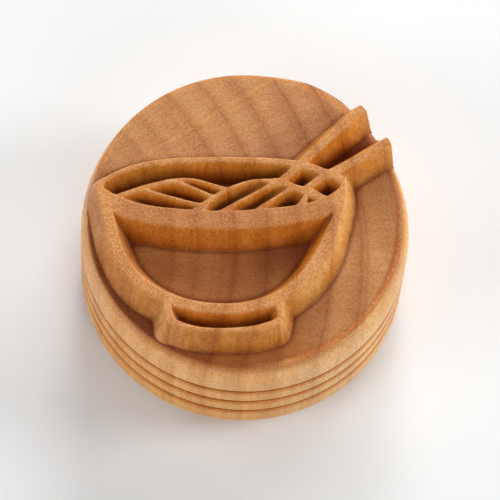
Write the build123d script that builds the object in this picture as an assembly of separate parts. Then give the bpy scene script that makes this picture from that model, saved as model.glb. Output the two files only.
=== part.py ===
from build123d import *
import math
import os

os.makedirs("parts", exist_ok=True)

# ---------------------------------------------------------------------------
# Round end-grain wooden butter print: a turned block whose upper face carries
# a deeply relieved picture (a bowl of noodles with a pair of chopsticks).
# Frame: origin at the centre of the flat foot, +Z up out of the engraved face,
# +X to the right of the picture, so that the bowl's rim runs along X.
# Millimetres throughout.
# ---------------------------------------------------------------------------

# --- driving dimensions -----------------------------------------------------
RADIUS_MAX = 20.0        # widest ring of the turned side, just above the foot
HEIGHT_GROUND = 19.2     # foot to the cut-back ground of the picture
RELIEF = 3.8             # height of the raised lines above the ground
HEIGHT = HEIGHT_GROUND + RELIEF

RADIUS_GROUND = 18.87    # outer edge of the ground
RADIUS_TOP = 19.2        # where the raised lines run out at the block's edge
RADIUS_FOOT = 17.2       # flat that the block stands on
Z_WIDEST = 3.0           # height of the widest ring
GROOVES = (              # turned V grooves: (height of the middle, radius of the side)
    (12.87, 19.77),
    (9.54, 19.86),
    (6.20, 19.92),
)
GROOVE_WIDTH = 1.10
GROOVE_DEPTH = 0.50
BEAD = 0.06              # swelling of the band between two grooves

DRAFT_RUN = 1.35         # how far a raised line's flank spreads over RELIEF
EXTRA_UP = 0.25          # the raised lines are made this much too tall, then cut level
EXTRA_DOWN = 0.40        # and this much too deep

# --- the raised picture ------------------------------------------------------
# Each raised line is a strip. One row is (xa, ya, xb, yb): the two edges of the
# line's flat top, opposite each other, listed from one end of it to the other.
STRIPS = {
"rim_arc": [
    (-17.28, 3.34, -16.83, 2.95), (-16.85, 3.65, -16.53, 3.27), (-15.89, 4.25, -15.67, 3.9), (-14.64, 4.87, -14.47, 4.43),
    (-13.19, 5.37, -13.04, 4.78), (-11.55, 5.73, -11.51, 5.08), (-9.52, 6.04, -9.47, 5.4), (-7.5, 6.21, -7.5, 5.58),
    (-5.48, 6.29, -5.48, 5.68), (-3.47, 6.32, -3.47, 5.72), (-1.46, 6.33, -1.49, 5.71), (0.54, 6.31, 0.48, 5.62),
    (2.54, 6.22, 2.48, 5.47), (4.53, 6.05, 4.42, 5.27), (6.13, 5.9, 5.85, 5.05), (7.51, 5.68, 7.23, 4.72),
    (8.48, 5.28, 8.21, 4.44), (9.45, 4.86, 9.13, 4.06), (10.42, 4.45, 10.1, 3.65), (11.4, 3.94, 11.1, 3.16),
],
"rim_left": [
    (-17.78, 2.53, -17.08, 2.17), (-17.56, 2.96, -16.95, 2.66), (-17.28, 3.34, -16.79, 2.99), (-16.95, 3.61, -16.58, 3.23),
],
"rim_right": [
    (11.66, 3.44, 11.13, 3.19), (11.76, 2.51, 11.2, 2.41), (11.66, 1.41, 10.97, 1.47), (11.41, -0.02, 10.63, 0.14),
    (11.08, -1.25, 10.3, -1.08),
],
"front_rim": [
    (-17.11, 2.32, -17.66, 1.86), (-16.65, 1.85, -17.25, 0.73), (-16.13, 1.5, -16.69, -0.33), (-15.35, 1.27, -15.79, -0.93),
    (-14.47, 0.97, -14.95, -1.16), (-13.01, 0.41, -13.38, -1.58), (-11.04, 0.01, -11.32, -2.11), (-9.05, -0.25, -9.24, -2.47),
    (-7.56, -0.38, -7.76, -2.68), (-6.06, -0.48, -6.26, -2.75), (-4.06, -0.57, -4.25, -2.78), (-2.36, -0.55, -2.45, -2.82),
    (-0.85, -0.5, -0.75, -2.87), (0.66, -0.44, 0.77, -2.73), (2.09, -0.18, 2.3, -2.46), (3.4, -0.11, 3.82, -2.23),
    (5.02, 0.07, 5.36, -1.91), (6.36, 0.41, 6.88, -1.64), (7.59, 0.68, 8.12, -1.33), (8.72, 1.01, 9.25, -1.01),
    (9.75, 1.37, 10.17, -0.79), (10.38, 1.63, 10.62, -0.57), (10.92, 2.08, 11.0, -0.2), (11.2, 2.7, 11.42, 0.9),
],
"bowl_wall": [
    (-17.77, 2.48, -16.79, 1.99), (-17.57, 1.71, -16.37, 1.1), (-17.4, 0.99, -16.03, 0.37), (-17.26, 0.07, -15.83, -0.25),
    (-17.1, -1.28, -15.74, -0.96), (-16.8, -2.78, -15.48, -2.59), (-16.34, -4.42, -15.14, -3.92), (-15.76, -5.93, -14.6, -5.27),
    (-15, -7.5, -13.92, -6.64), (-14.02, -9.04, -13.12, -7.91), (-13.02, -10.18, -12.2, -8.89), (-11.79, -11.03, -11.16, -9.63),
    (-10.44, -11.75, -9.93, -10.44), (-9.08, -12.27, -8.68, -11.08), (-7.72, -12.77, -7.31, -11.57), (-6.14, -13.12, -5.84, -11.91),
    (-4.15, -13.34, -4.05, -12.1), (-2.15, -13.37, -2.14, -12.1), (-0.13, -13.19, -0.32, -11.95), (1.91, -12.81, 1.53, -11.47),
    (3.16, -12.31, 2.66, -11.07), (4.23, -11.5, 3.61, -10.55), (5.72, -10.58, 4.9, -9.55), (6.9, -9.62, 6, -8.44),
    (7.89, -8.71, 6.79, -7.46), (8.67, -7.72, 7.48, -6.41), (9.26, -6.77, 8.07, -5.41), (9.86, -5.56, 8.67, -4.21),
    (10.32, -4.3, 9.22, -3.1), (10.68, -3.02, 9.69, -2.24), (10.92, -1.94, 10.06, -1.46), (11.11, -0.95, 10.27, -0.78),
],
"foot_l": [
    (-9.82, -11.5, -9.02, -11.57), (-9.7, -12.42, -8.99, -12.38), (-9.66, -13.22, -8.81, -13.2), (-9.63, -14.03, -8.52, -13.92),
    (-9.42, -14.4, -8.31, -14.34),
],
"foot_b": [
    (-8.82, -13.9, -9.4, -14.3), (-8.31, -14.36, -8.72, -14.8), (-7.28, -14.63, -7.43, -15.25), (-6.3, -14.92, -6.39, -15.41),
    (-5.31, -15.08, -5.34, -15.5), (-4.31, -15.19, -4.34, -15.55), (-3.31, -15.19, -3.31, -15.57), (-2.3, -15.16, -2.29, -15.58),
    (-1.3, -15.11, -1.28, -15.56), (-0.28, -15.03, -0.25, -15.52), (0.73, -14.89, 0.81, -15.43), (1.75, -14.65, 1.9, -15.27),
    (2.79, -14.34, 3.03, -15.03), (3.31, -14.03, 3.77, -14.53),
],
"foot_r": [
    (2.89, -11.89, 4.03, -11.59), (3.16, -12.31, 3.99, -12.19), (3.37, -12.83, 3.99, -12.79), (3.52, -13.35, 3.99, -13.39),
    (3.51, -13.75, 3.92, -13.99), (3.26, -14.08, 3.61, -14.71),
],
"n1": [
    (-15.54, 1.38, -14.97, 0.98), (-14.71, 1.68, -14.24, 1.32), (-13.88, 2.04, -13.61, 1.67), (-12.84, 2.41, -12.58, 1.93),
    (-11.81, 2.74, -11.55, 2.19), (-10.78, 3.03, -10.62, 2.52), (-9.75, 3.3, -9.6, 2.81), (-8.83, 3.49, -8.68, 3),
    (-7.72, 3.59, -7.55, 3.21), (-6.72, 3.56, -6.64, 3.33), (-5.73, 3.43, -5.75, 3.2), (-4.75, 3.14, -4.87, 2.91),
    (-3.78, 2.78, -3.9, 2.54), (-3, 2.52, -3.22, 2.23), (-2.3, 2.41, -2.64, 1.93),
],
"n2": [
    (-12.24, 2.4, -12.58, 1.93), (-11.47, 2.01, -11.6, 1.72), (-10.89, 1.81, -10.96, 1.52), (-9.91, 1.53, -9.98, 1.26),
    (-8.92, 1.27, -9, 0.99), (-7.95, 0.98, -8.02, 0.72), (-6.97, 0.7, -7.04, 0.45), (-6.18, 0.5, -6.3, 0.24),
    (-5.49, 0.37, -5.82, -0),
],
"n3": [
    (-8.24, 3.37, -8.48, 2.94), (-7.67, 3.02, -7.8, 2.73), (-6.8, 2.67, -6.92, 2.38), (-5.83, 2.26, -5.95, 2),
    (-4.86, 1.84, -4.98, 1.58), (-4.19, 1.48, -4.46, 1.24), (-3.6, 1.31, -3.94, 0.84),
],
"n4": [
    (-6.68, -0.63, -5.4, -0.89), (-6.03, -0.09, -4.88, -0.18), (-5.44, 0.37, -4.44, 0.36), (-4.85, 0.77, -3.95, 0.79),
    (-4.26, 1.19, -3.41, 1.2), (-3.62, 1.65, -2.88, 1.57), (-2.93, 2.09, -2.26, 1.98), (-1.84, 2.59, -1.56, 2.29),
    (-0.74, 3.04, -0.61, 2.78), (0.29, 3.37, 0.35, 3.14), (1.31, 3.52, 1.33, 3.28), (2.41, 3.56, 2.43, 3.2),
    (3.52, 3.56, 3.47, 3.01),
],
"n5": [
    (-3.47, -0.66, -2.06, -0.58), (-2.79, -0.36, -2.04, -0.38), (-2.2, 0.07, -1.93, -0.24), (-1.46, 0.55, -1.28, 0.23),
    (-0.41, 1.11, -0.26, 0.83), (0.65, 1.72, 0.8, 1.44), (1.71, 2.36, 1.85, 2.07), (2.55, 2.84, 2.73, 2.58),
    (2.88, 3.12, 3.35, 2.8), (3.4, 3.42, 3.85, 2.78),
],
"n6": [
    (0.86, -0.48, 1.98, -0.27), (1.3, -0.06, 2.06, -0.03), (2.04, 0.43, 2.27, 0.16), (3.11, 1.16, 3.29, 0.92),
    (4.18, 1.9, 4.36, 1.65), (4.71, 2.29, 4.94, 2.04), (5.15, 2.67, 5.49, 2.04),
],
"n7": [
    (5.77, 0.01, 6.74, 0.22), (6.12, 0.53, 6.84, 0.6), (6.46, 1.05, 6.97, 1), (6.76, 1.53, 7.17, 1.39),
    (6.98, 1.81, 7.47, 1.67),
],
"n8": [
    (3.22, 3.64, 3.16, 2.89), (3.92, 3.58, 3.86, 2.83), (4.9, 3.25, 4.65, 2.69), (5.55, 2.88, 5.15, 2.17),
    (6.35, 2.62, 5.89, 1.95), (7.15, 2.6, 6.77, 1.6), (7.82, 2.29, 7.37, 1.5), (8.49, 1.85, 7.94, 1.09),
    (9.16, 1.42, 8.5, 0.75), (9.64, 1.28, 9.08, 0.53),
],
"c1": [
    (3.66, 3.5, 4.36, 2.89), (4.26, 3.98, 4.88, 3.41), (4.91, 4.57, 5.38, 4.05), (5.45, 5.05, 6.0, 4.62),
    (5.97, 5.81, 6.88, 5.33), (6.59, 6.58, 7.48, 5.88), (7.69, 7.72, 8.42, 6.96), (8.78, 8.73, 9.47, 7.97),
    (9.86, 9.69, 10.56, 8.98), (10.95, 10.7, 11.65, 9.99), (12.05, 11.76, 12.74, 11.05), (13.14, 12.77, 13.84, 12.11),
    (14.23, 13.78, 14.98, 13.22),
],
"c2": [
    (6.6, 2.4, 7.2, 2.06), (6.97, 2.87, 7.63, 2.48), (7.55, 3.38, 8.16, 2.85), (8.2, 3.88, 8.73, 3.27),
    (8.65, 4.27, 9.34, 3.61), (9.12, 4.54, 9.97, 3.86), (9.95, 4.85, 10.99, 4.08), (10.79, 5.3, 11.43, 4.49),
    (11.85, 5.94, 12.39, 5.21), (12.91, 6.6, 13.46, 5.92), (13.98, 7.31, 14.57, 6.63), (15.04, 7.97, 15.68, 7.34),
    (16.1, 8.63, 16.74, 8), (17.15, 9.27, 17.9, 8.65),
],
}
POSTS = {
"back_rim": [(11.2, 3.61, 0.45), (-17.37, 2.54, 0.4)],
"foot_ring": [(-9.2, -14.26, 0.36), (3.45, -14.34, 0.36)],
}

# ---------------------------------------------------------------------------
# helpers
# ---------------------------------------------------------------------------
SLOPE = DRAFT_RUN / RELIEF
Z_LOW = HEIGHT_GROUND - EXTRA_DOWN
Z_HIGH = HEIGHT + EXTRA_UP


def unit(x, y):
    n = math.hypot(x, y)
    return (x / n, y / n)


def spread(side, other, amount):
    """Moves an edge outwards, square to its own run, by amount."""
    out = []
    last = len(side) - 1
    for i, (x, y) in enumerate(side):
        x0, y0 = side[max(i - 1, 0)]
        x1, y1 = side[min(i + 1, last)]
        tx, ty = unit(x1 - x0, y1 - y0)
        nx, ny = -ty, tx
        if nx * (x - other[i][0]) + ny * (y - other[i][1]) < 0:
            nx, ny = -nx, -ny
        out.append((x + nx * amount, y + ny * amount))
    return out


def section(rows, z):
    """Closed outline of a strip at height z: two splines and two ends."""
    a = [(r[0], r[1]) for r in rows]
    b = [(r[2], r[3]) for r in rows]
    amount = (HEIGHT - z) * SLOPE
    a2, b2 = spread(a, b, amount), spread(b, a, amount)
    pa = [Vector(x, y, z) for x, y in a2]
    pb = [Vector(x, y, z) for x, y in b2]
    return Wire([
        Edge.make_spline(pa),
        Edge.make_line(pa[-1], pb[-1]),
        Edge.make_spline(pb[::-1]),
        Edge.make_line(pb[0], pa[0]),
    ])


def strip(key):
    rows = STRIPS[key]
    return Solid.make_loft([section(rows, Z_LOW), section(rows, Z_HIGH)], ruled=True)


def post(x, y, r):
    """Round tapered end or corner of a raised line; r is its radius on top."""
    low = r + (HEIGHT - Z_LOW) * SLOPE
    high = r + (HEIGHT - Z_HIGH) * SLOPE
    return Solid.make_cone(low, high, Z_HIGH - Z_LOW, Plane((x, y, Z_LOW)))


def tool(*solids):
    """One tool shape from one or more overlapping strips and posts."""
    out = solids[0]
    for s in solids[1:]:
        out = out.fuse(s)
    return one(out)


def one(shape):
    """The largest solid of a result."""
    found = sorted(shape.solids(), key=lambda s: s.volume)
    return found[-1]


# --- the block: one turned profile ------------------------------------------
def turned_block():
    half = GROOVE_WIDTH / 2
    edges = [
        Edge.make_line((0, 0, 0), (RADIUS_FOOT - 0.5, 0, 0)),
        # rounded corner of the foot, then the hollow undercut up to the widest ring
        Edge.make_three_point_arc((RADIUS_FOOT - 0.5, 0, 0), (RADIUS_FOOT - 0.12, 0, 0.14), (RADIUS_FOOT, 0, 0.5)),
        Edge.make_three_point_arc((RADIUS_FOOT, 0, 0.5), (RADIUS_FOOT + 1.05, 0, 1.75), (RADIUS_MAX - 0.45, 0, 2.45)),
        Edge.make_three_point_arc((RADIUS_MAX - 0.45, 0, 2.45), (RADIUS_MAX - 0.08, 0, 2.68), (RADIUS_MAX, 0, Z_WIDEST + 0.1)),
    ]
    x, z = RADIUS_MAX, Z_WIDEST + 0.1
    for zg, rg in reversed(GROOVES):
        low, mid, high = zg - half, zg, zg + half
        bulge = ((x + rg) / 2 + BEAD, 0, (z + low) / 2)
        edges.append(Edge.make_three_point_arc((x, 0, z), bulge, (rg, 0, low)))
        edges.append(Edge.make_line((rg, 0, low), (rg - GROOVE_DEPTH, 0, mid)))
        edges.append(Edge.make_line((rg - GROOVE_DEPTH, 0, mid), (rg, 0, high)))
        x, z = rg, high
    # plain band above the grooves, then the soft shoulder up to the ground
    edges.append(Edge.make_three_point_arc((x, 0, z), (19.76, 0, 15.0), (19.66, 0, 16.5)))
    edges.append(Edge.make_three_point_arc((19.66, 0, 16.5), (19.33, 0, 17.75), (RADIUS_GROUND, 0, HEIGHT_GROUND)))
    edges.append(Edge.make_line((RADIUS_GROUND, 0, HEIGHT_GROUND), (0, 0, HEIGHT_GROUND)))
    edges.append(Edge.make_line((0, 0, HEIGHT_GROUND), (0, 0, 0)))
    face = Face(Wire(edges))
    return Solid.revolve(face, 360, Axis.Z)


# --- everything raised stays within the block's own outline ------------------
envelope = Solid.make_cone(RADIUS_GROUND, RADIUS_TOP, RELIEF, Plane((0, 0, HEIGHT_GROUND)))

# rough raised lines, overlapping where they cross
rough = {
    "back_rim": tool(strip("rim_arc"), strip("rim_left"), strip("rim_right"), *[post(*p) for p in POSTS["back_rim"]]),
    "front_rim": strip("front_rim"),
    "bowl_wall": strip("bowl_wall"),
    "foot_ring": tool(strip("foot_b"), strip("foot_l"), strip("foot_r"), *[post(*p) for p in POSTS["foot_ring"]]),
    "chopstick_upper": strip("c1"),
    "chopstick_lower": strip("c2"),
    "noodle_front": strip("n8"),
    "noodle_wave": strip("n4"),
    "noodle_arch": strip("n1"),
    "noodle_left_outer": strip("n2"),
    "noodle_left_inner": strip("n3"),
    "noodle_slant_left": strip("n5"),
    "noodle_slant_right": strip("n6"),
    "noodle_short": strip("n7"),
}
for key in rough:
    rough[key] = one(rough[key].intersect(envelope))

# where two lines cross, the first one named here keeps its full shape and the
# later one stops against it, face to face
order = [
    "back_rim", "front_rim", "bowl_wall", "foot_ring", "chopstick_upper", "chopstick_lower",
    "noodle_front", "noodle_wave", "noodle_arch", "noodle_left_outer", "noodle_left_inner",
    "noodle_slant_left", "noodle_slant_right", "noodle_short",
]
pieces = {"turned_block": turned_block()}
done = []
for key in order:
    shape = rough[key]
    for other in done:
        shape = shape.cut(rough[other])
    parts = sorted(shape.solids(), key=lambda s: -s.volume)
    if key in ("chopstick_upper", "chopstick_lower"):
        # the rim cuts the stick in two: the long end outside it, the short tip inside
        outside = max(parts[:2], key=lambda s: s.center().Y)
        inside = min(parts[:2], key=lambda s: s.center().Y)
        pieces[key] = outside
        pieces[key + "_tip"] = inside
    else:
        pieces[key] = parts[0]
    done.append(key)

for name, solid in pieces.items():
    solid.label = name
    export_step(solid, "parts/" + name + ".step")
    print(name, "valid" if solid.is_valid else "NOT VALID", round(solid.volume, 2), "mm3")
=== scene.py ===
import bpy
import math
import numpy as np
from mathutils import Vector, Matrix
from mathutils.geometry import tessellate_polygon


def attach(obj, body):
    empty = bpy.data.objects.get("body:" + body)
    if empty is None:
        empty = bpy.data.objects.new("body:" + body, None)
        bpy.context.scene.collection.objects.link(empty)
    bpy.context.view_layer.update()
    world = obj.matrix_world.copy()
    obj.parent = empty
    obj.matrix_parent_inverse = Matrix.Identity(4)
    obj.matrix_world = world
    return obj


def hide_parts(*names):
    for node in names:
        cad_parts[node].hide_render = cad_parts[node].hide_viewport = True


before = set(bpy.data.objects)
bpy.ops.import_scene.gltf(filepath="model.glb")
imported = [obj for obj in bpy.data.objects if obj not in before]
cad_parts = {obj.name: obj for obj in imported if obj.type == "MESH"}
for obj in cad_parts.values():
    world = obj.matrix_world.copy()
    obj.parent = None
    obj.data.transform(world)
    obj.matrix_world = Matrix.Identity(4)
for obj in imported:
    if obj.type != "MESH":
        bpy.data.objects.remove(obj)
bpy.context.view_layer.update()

# ---------------------------------------------------------------------------
# Turned end-grain wooden butter print. All sizes below are millimetres in the
# part's own frame (origin at the centre of the foot, +Z up, +X along the rim
# of the carved bowl); meshes are scaled to metres when they are made.
# ---------------------------------------------------------------------------
MM = 0.001
ZG, ZT, RUN = 19.2, 23.0, 1.35      # ground, top of the raised lines, flank run
SLOPE = (ZT - ZG) / RUN
R_MAX, R_GROUND, R_END = 20.0, 18.87, 19.15
R_FOOT = 17.2
GROOVES = ((12.87, 19.77), (9.54, 19.86), (6.20, 19.92))
GROOVE_HALF, GROOVE_DEPTH, BEAD = 0.55, 0.50, 0.06
PITH = (-31.0, -4.4)                # centre of the growth rings

STRIPS = {
"rim_arc": [
    (-17.28, 3.34, -16.83, 2.95), (-16.85, 3.65, -16.53, 3.27), (-15.89, 4.25, -15.67, 3.9), (-14.64, 4.87, -14.47, 4.43),
    (-13.19, 5.37, -13.04, 4.78), (-11.55, 5.73, -11.51, 5.08), (-9.52, 6.04, -9.47, 5.4), (-7.5, 6.21, -7.5, 5.58),
    (-5.48, 6.29, -5.48, 5.68), (-3.47, 6.32, -3.47, 5.72), (-1.46, 6.33, -1.49, 5.71), (0.54, 6.31, 0.48, 5.62),
    (2.54, 6.22, 2.48, 5.47), (4.53, 6.05, 4.42, 5.27), (6.13, 5.9, 5.85, 5.05), (7.51, 5.68, 7.23, 4.72),
    (8.48, 5.28, 8.21, 4.44), (9.45, 4.86, 9.13, 4.06), (10.42, 4.45, 10.1, 3.65), (11.4, 3.94, 11.1, 3.16),
],
"rim_left": [
    (-17.78, 2.53, -17.08, 2.17), (-17.56, 2.96, -16.95, 2.66), (-17.28, 3.34, -16.79, 2.99), (-16.95, 3.61, -16.58, 3.23),
],
"rim_right": [
    (11.66, 3.44, 11.13, 3.19), (11.76, 2.51, 11.2, 2.41), (11.66, 1.41, 10.97, 1.47), (11.41, -0.02, 10.63, 0.14),
    (11.08, -1.25, 10.3, -1.08),
],
"front_rim": [
    (-17.11, 2.32, -17.66, 1.86), (-16.65, 1.85, -17.25, 0.73), (-16.13, 1.5, -16.69, -0.33), (-15.35, 1.27, -15.79, -0.93),
    (-14.47, 0.97, -14.95, -1.16), (-13.01, 0.41, -13.38, -1.58), (-11.04, 0.01, -11.32, -2.11), (-9.05, -0.25, -9.24, -2.47),
    (-7.56, -0.38, -7.76, -2.68), (-6.06, -0.48, -6.26, -2.75), (-4.06, -0.57, -4.25, -2.78), (-2.36, -0.55, -2.45, -2.82),
    (-0.85, -0.5, -0.75, -2.87), (0.66, -0.44, 0.77, -2.73), (2.09, -0.18, 2.3, -2.46), (3.4, -0.11, 3.82, -2.23),
    (5.02, 0.07, 5.36, -1.91), (6.36, 0.41, 6.88, -1.64), (7.59, 0.68, 8.12, -1.33), (8.72, 1.01, 9.25, -1.01),
    (9.75, 1.37, 10.17, -0.79), (10.38, 1.63, 10.62, -0.57), (10.92, 2.08, 11.0, -0.2), (11.2, 2.7, 11.42, 0.9),
],
"bowl_wall": [
    (-17.77, 2.48, -16.79, 1.99), (-17.57, 1.71, -16.37, 1.1), (-17.4, 0.99, -16.03, 0.37), (-17.26, 0.07, -15.83, -0.25),
    (-17.1, -1.28, -15.74, -0.96), (-16.8, -2.78, -15.48, -2.59), (-16.34, -4.42, -15.14, -3.92), (-15.76, -5.93, -14.6, -5.27),
    (-15, -7.5, -13.92, -6.64), (-14.02, -9.04, -13.12, -7.91), (-13.02, -10.18, -12.2, -8.89), (-11.79, -11.03, -11.16, -9.63),
    (-10.44, -11.75, -9.93, -10.44), (-9.08, -12.27, -8.68, -11.08), (-7.72, -12.77, -7.31, -11.57), (-6.14, -13.12, -5.84, -11.91),
    (-4.15, -13.34, -4.05, -12.1), (-2.15, -13.37, -2.14, -12.1), (-0.13, -13.19, -0.32, -11.95), (1.91, -12.81, 1.53, -11.47),
    (3.16, -12.31, 2.66, -11.07), (4.23, -11.5, 3.61, -10.55), (5.72, -10.58, 4.9, -9.55), (6.9, -9.62, 6, -8.44),
    (7.89, -8.71, 6.79, -7.46), (8.67, -7.72, 7.48, -6.41), (9.26, -6.77, 8.07, -5.41), (9.86, -5.56, 8.67, -4.21),
    (10.32, -4.3, 9.22, -3.1), (10.68, -3.02, 9.69, -2.24), (10.92, -1.94, 10.06, -1.46), (11.11, -0.95, 10.27, -0.78),
],
"foot_l": [
    (-9.82, -11.5, -9.02, -11.57), (-9.7, -12.42, -8.99, -12.38), (-9.66, -13.22, -8.81, -13.2), (-9.63, -14.03, -8.52, -13.92),
    (-9.42, -14.4, -8.31, -14.34),
],
"foot_b": [
    (-8.82, -13.9, -9.4, -14.3), (-8.31, -14.36, -8.72, -14.8), (-7.28, -14.63, -7.43, -15.25), (-6.3, -14.92, -6.39, -15.41),
    (-5.31, -15.08, -5.34, -15.5), (-4.31, -15.19, -4.34, -15.55), (-3.31, -15.19, -3.31, -15.57), (-2.3, -15.16, -2.29, -15.58),
    (-1.3, -15.11, -1.28, -15.56), (-0.28, -15.03, -0.25, -15.52), (0.73, -14.89, 0.81, -15.43), (1.75, -14.65, 1.9, -15.27),
    (2.79, -14.34, 3.03, -15.03), (3.31, -14.03, 3.77, -14.53),
],
"foot_r": [
    (2.89, -11.89, 4.03, -11.59), (3.16, -12.31, 3.99, -12.19), (3.37, -12.83, 3.99, -12.79), (3.52, -13.35, 3.99, -13.39),
    (3.51, -13.75, 3.92, -13.99), (3.26, -14.08, 3.61, -14.71),
],
"n1": [
    (-15.54, 1.38, -14.97, 0.98), (-14.71, 1.68, -14.24, 1.32), (-13.88, 2.04, -13.61, 1.67), (-12.84, 2.41, -12.58, 1.93),
    (-11.81, 2.74, -11.55, 2.19), (-10.78, 3.03, -10.62, 2.52), (-9.75, 3.3, -9.6, 2.81), (-8.83, 3.49, -8.68, 3),
    (-7.72, 3.59, -7.55, 3.21), (-6.72, 3.56, -6.64, 3.33), (-5.73, 3.43, -5.75, 3.2), (-4.75, 3.14, -4.87, 2.91),
    (-3.78, 2.78, -3.9, 2.54), (-3, 2.52, -3.22, 2.23), (-2.3, 2.41, -2.64, 1.93),
],
"n2": [
    (-12.24, 2.4, -12.58, 1.93), (-11.47, 2.01, -11.6, 1.72), (-10.89, 1.81, -10.96, 1.52), (-9.91, 1.53, -9.98, 1.26),
    (-8.92, 1.27, -9, 0.99), (-7.95, 0.98, -8.02, 0.72), (-6.97, 0.7, -7.04, 0.45), (-6.18, 0.5, -6.3, 0.24),
    (-5.49, 0.37, -5.82, -0),
],
"n3": [
    (-8.24, 3.37, -8.48, 2.94), (-7.67, 3.02, -7.8, 2.73), (-6.8, 2.67, -6.92, 2.38), (-5.83, 2.26, -5.95, 2),
    (-4.86, 1.84, -4.98, 1.58), (-4.19, 1.48, -4.46, 1.24), (-3.6, 1.31, -3.94, 0.84),
],
"n4": [
    (-6.68, -0.63, -5.4, -0.89), (-6.03, -0.09, -4.88, -0.18), (-5.44, 0.37, -4.44, 0.36), (-4.85, 0.77, -3.95, 0.79),
    (-4.26, 1.19, -3.41, 1.2), (-3.62, 1.65, -2.88, 1.57), (-2.93, 2.09, -2.26, 1.98), (-1.84, 2.59, -1.56, 2.29),
    (-0.74, 3.04, -0.61, 2.78), (0.29, 3.37, 0.35, 3.14), (1.31, 3.52, 1.33, 3.28), (2.41, 3.56, 2.43, 3.2),
    (3.52, 3.56, 3.47, 3.01),
],
"n5": [
    (-3.47, -0.66, -2.06, -0.58), (-2.79, -0.36, -2.04, -0.38), (-2.2, 0.07, -1.93, -0.24), (-1.46, 0.55, -1.28, 0.23),
    (-0.41, 1.11, -0.26, 0.83), (0.65, 1.72, 0.8, 1.44), (1.71, 2.36, 1.85, 2.07), (2.55, 2.84, 2.73, 2.58),
    (2.88, 3.12, 3.35, 2.8), (3.4, 3.42, 3.85, 2.78),
],
"n6": [
    (0.86, -0.48, 1.98, -0.27), (1.3, -0.06, 2.06, -0.03), (2.04, 0.43, 2.27, 0.16), (3.11, 1.16, 3.29, 0.92),
    (4.18, 1.9, 4.36, 1.65), (4.71, 2.29, 4.94, 2.04), (5.15, 2.67, 5.49, 2.04),
],
"n7": [
    (5.77, 0.01, 6.74, 0.22), (6.12, 0.53, 6.84, 0.6), (6.46, 1.05, 6.97, 1), (6.76, 1.53, 7.17, 1.39),
    (6.98, 1.81, 7.47, 1.67),
],
"n8": [
    (3.22, 3.64, 3.16, 2.89), (3.92, 3.58, 3.86, 2.83), (4.9, 3.25, 4.65, 2.69), (5.55, 2.88, 5.15, 2.17),
    (6.35, 2.62, 5.89, 1.95), (7.15, 2.6, 6.77, 1.6), (7.82, 2.29, 7.37, 1.5), (8.49, 1.85, 7.94, 1.09),
    (9.16, 1.42, 8.5, 0.75), (9.64, 1.28, 9.08, 0.53),
],
"c1": [
    (3.66, 3.5, 4.36, 2.89), (4.26, 3.98, 4.88, 3.41), (4.91, 4.57, 5.38, 4.05), (5.45, 5.05, 6.0, 4.62),
    (5.97, 5.81, 6.88, 5.33), (6.59, 6.58, 7.48, 5.88), (7.69, 7.72, 8.42, 6.96), (8.78, 8.73, 9.47, 7.97),
    (9.86, 9.69, 10.56, 8.98), (10.95, 10.7, 11.65, 9.99), (12.05, 11.76, 12.74, 11.05), (13.14, 12.77, 13.84, 12.11),
    (14.23, 13.78, 14.98, 13.22),
],
"c2": [
    (6.6, 2.4, 7.2, 2.06), (6.97, 2.87, 7.63, 2.48), (7.55, 3.38, 8.16, 2.85), (8.2, 3.88, 8.73, 3.27),
    (8.65, 4.27, 9.34, 3.61), (9.12, 4.54, 9.97, 3.86), (9.95, 4.85, 10.99, 4.08), (10.79, 5.3, 11.43, 4.49),
    (11.85, 5.94, 12.39, 5.21), (12.91, 6.6, 13.46, 5.92), (13.98, 7.31, 14.57, 6.63), (15.04, 7.97, 15.68, 7.34),
    (16.1, 8.63, 16.74, 8), (17.15, 9.27, 17.9, 8.65),
],
}
POSTS = {
"back_rim": [(11.2, 3.61, 0.45), (-17.37, 2.54, 0.4)],
"foot_ring": [(-9.2, -14.26, 0.36), (3.45, -14.34, 0.36)],
}

LINES = {                            # piece: (strips it is made of)
    "back_rim": ("rim_arc", "rim_left", "rim_right"),
    "front_rim": ("front_rim",),
    "bowl_wall": ("bowl_wall",),
    "foot_ring": ("foot_b", "foot_l", "foot_r"),
    "chopstick_upper": ("c1",),
    "chopstick_lower": ("c2",),
    "noodle_front": ("n8",),
    "noodle_wave": ("n4",),
    "noodle_arch": ("n1",),
    "noodle_left_outer": ("n2",),
    "noodle_left_inner": ("n3",),
    "noodle_slant_left": ("n5",),
    "noodle_slant_right": ("n6",),
    "noodle_short": ("n7",),
}
# how far each line keeps its own outline where it meets another one
BIAS = {
    "back_rim": 0.25, "front_rim": 0.25, "bowl_wall": 0.20, "foot_ring": 0.10,
    "chopstick_upper": 0.12, "chopstick_lower": 0.12, "noodle_front": 0.06, "noodle_wave": 0.06,
}
# how strongly each strip's edges are evened out
FAIR = {"bowl_wall": 1.6, "front_rim": 1.2, "rim_arc": 1.2, "c1": 3.0, "c2": 3.0, "foot_b": 0.8}
# the rim crosses both sticks: the part beyond it and the tip inside the bowl
SPLIT = {"chopstick_upper": 11.2, "chopstick_lower": 13.9}

# ---------------------------------------------------------------------------
# the carved picture as one height field, then one closed mesh per raised line
# ---------------------------------------------------------------------------
G = 0.06                             # spacing of the nodes
N = 682
X0 = -0.5 * (N - 1) * G
XS = X0 + G * np.arange(N)
GX, GY = np.meshgrid(XS, XS)
GR = np.hypot(GX, GY)
REACH = 2.3


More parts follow.
